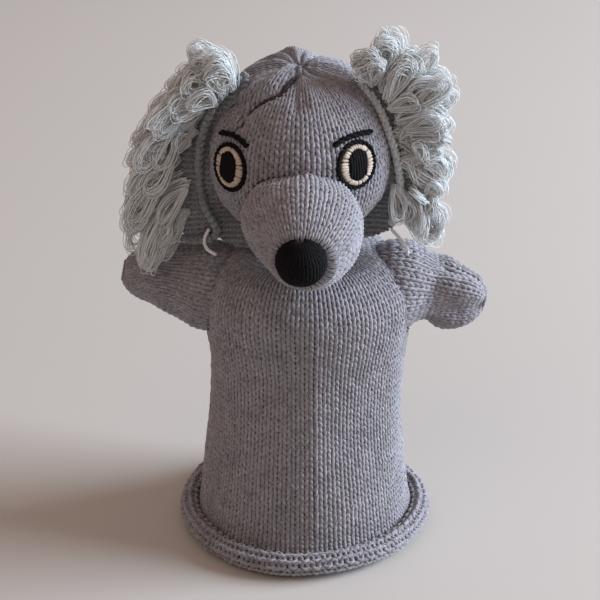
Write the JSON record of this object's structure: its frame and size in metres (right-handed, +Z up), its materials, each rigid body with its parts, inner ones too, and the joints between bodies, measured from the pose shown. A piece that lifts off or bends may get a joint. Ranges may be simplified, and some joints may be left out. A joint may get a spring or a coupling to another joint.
{
  "type": "knitted hand puppet",
  "caption": "Knitted dog hand puppet: tube sleeve with a rolled hem, two mitt arms, a stuffed head with a sewn muzzle, embroidered eyes and long ears fringed with yarn loops.",
  "frame": {"origin": "on the floor, at the centre of the rolled hem", "axes": "+Z up along the sleeve, -Y the way the face looks, +X to the puppet's left hand side as a viewer in front sees it on the right"},
  "size_m": [0.1566, 0.1304, 0.232],
  "materials": {
    "grey_marl": "plain knitted wool, grey marl",
    "seam_yarn": "grey sewing yarn",
    "stuffing": "white toy stuffing",
    "black_wool": "black knitted wool",
    "black_thread": "black embroidery thread",
    "cream_thread": "cream satin-stitched thread",
    "ear_knit": "pale blue-grey knitted yarn",
    "ear_yarn": "fine pale blue-grey yarn in loops",
    "tail_yarn": "white yarn end"
  },
  "bodies": {
    "puppet_body": {"sleeve": "grey_marl", "rolled_hem": "grey_marl"},
    "neck_drawstring": {"neck_drawstring": "seam_yarn"},
    "neck_seam": {"head_neck_seam": "seam_yarn"},
    "head": {"head_skin": "grey_marl", "head_stuffing": "stuffing", "finger_tube": "seam_yarn", "crown_gather": "seam_yarn", "muzzle_skin": "grey_marl", "muzzle_stuffing": "stuffing", "muzzle_seam": "seam_yarn", "nose": "black_wool", "left_eye_outline": "black_thread", "left_eye_white": "cream_thread", "left_eye_pupil": "black_thread", "left_eyebrow": "black_thread", "right_eye_outline": "black_thread", "right_eye_white": "cream_thread", "right_eye_pupil": "black_thread", "right_eyebrow": "black_thread"},
    "left_arm_seam": {"left_arm_seam": "seam_yarn"},
    "left_arm": {"left_arm": "grey_marl", "left_arm_tip_gather": "seam_yarn"},
    "left_ear": {"left_ear_flap": "ear_knit", "left_ear_edging": "ear_yarn", "left_ear_yarn_tail": "tail_yarn", "left_ear_loops_1": "ear_yarn", "left_ear_loops_2": "ear_yarn", "left_ear_loops_3": "ear_yarn", "left_ear_loops_4": "ear_yarn", "left_ear_loops_5": "ear_yarn", "left_ear_loops_6": "ear_yarn", "left_ear_loops_7": "ear_yarn", "left_ear_loops_8": "ear_yarn"},
    "right_arm_seam": {"right_arm_seam": "seam_yarn"},
    "right_arm": {"right_arm": "grey_marl", "right_arm_tip_gather": "seam_yarn"},
    "right_ear": {"right_ear_flap": "ear_knit", "right_ear_edging": "ear_yarn", "right_ear_yarn_tail": "tail_yarn", "right_ear_loops_1": "ear_yarn", "right_ear_loops_2": "ear_yarn", "right_ear_loops_3": "ear_yarn", "right_ear_loops_4": "ear_yarn", "right_ear_loops_5": "ear_yarn", "right_ear_loops_6": "ear_yarn", "right_ear_loops_7": "ear_yarn", "right_ear_loops_8": "ear_yarn"}
  },
  "joints": [
    {"name": "head_turn", "type": "hinge", "parent": "puppet_body", "child": "neck_drawstring", "pos_m": [0, 0, 0.133], "axis": [0, 0, 1], "range_deg": [-30, 30], "stiffness_Nm_per_rad": 0.1},
    {"name": "head_tilt", "type": "hinge", "parent": "neck_drawstring", "child": "neck_seam", "pos_m": [0, 0, 0.133], "axis": [0, 1, 0], "range_deg": [-8, 8], "stiffness_Nm_per_rad": 0.5},
    {"name": "head_nod", "type": "hinge", "parent": "neck_seam", "child": "head", "pos_m": [0, 0, 0.133], "axis": [1, 0, 0], "range_deg": [-20, 8], "stiffness_Nm_per_rad": 0.6},
    {"name": "left_arm_swing", "type": "hinge", "parent": "puppet_body", "child": "left_arm_seam", "pos_m": [-0.041, 0, 0.1155], "axis": [0, 0, 1], "range_deg": [-5, 45], "stiffness_Nm_per_rad": 0.02},
    {"name": "left_arm_lift", "type": "hinge", "parent": "left_arm_seam", "child": "left_arm", "pos_m": [-0.041, 0, 0.1155], "axis": [0, -1, 0], "range_deg": [-25, 30], "stiffness_Nm_per_rad": 0.05},
    {"name": "right_arm_swing", "type": "hinge", "parent": "puppet_body", "child": "right_arm_seam", "pos_m": [0.041, 0, 0.1155], "axis": [0, 0, 1], "range_deg": [-36, 5], "stiffness_Nm_per_rad": 0.02},
    {"name": "right_arm_lift", "type": "hinge", "parent": "right_arm_seam", "child": "right_arm", "pos_m": [0.041, 0, 0.1155], "axis": [0, -1, 0], "range_deg": [-18, 25], "stiffness_Nm_per_rad": 0.05},
    {"name": "left_ear_swing", "type": "hinge", "parent": "head", "child": "left_ear", "pos_m": [-0.03692, -0.008, 0.19607], "axis": [0.4695, 0, 0.8829], "range_deg": [-12, 12], "stiffness_Nm_per_rad": 0.02},
    {"name": "right_ear_swing", "type": "hinge", "parent": "head", "child": "right_ear", "pos_m": [0.03292, -0.008, 0.19607], "axis": [-0.4695, 0, 0.8829], "range_deg": [-12, 12], "stiffness_Nm_per_rad": 0.02}
  ]
}
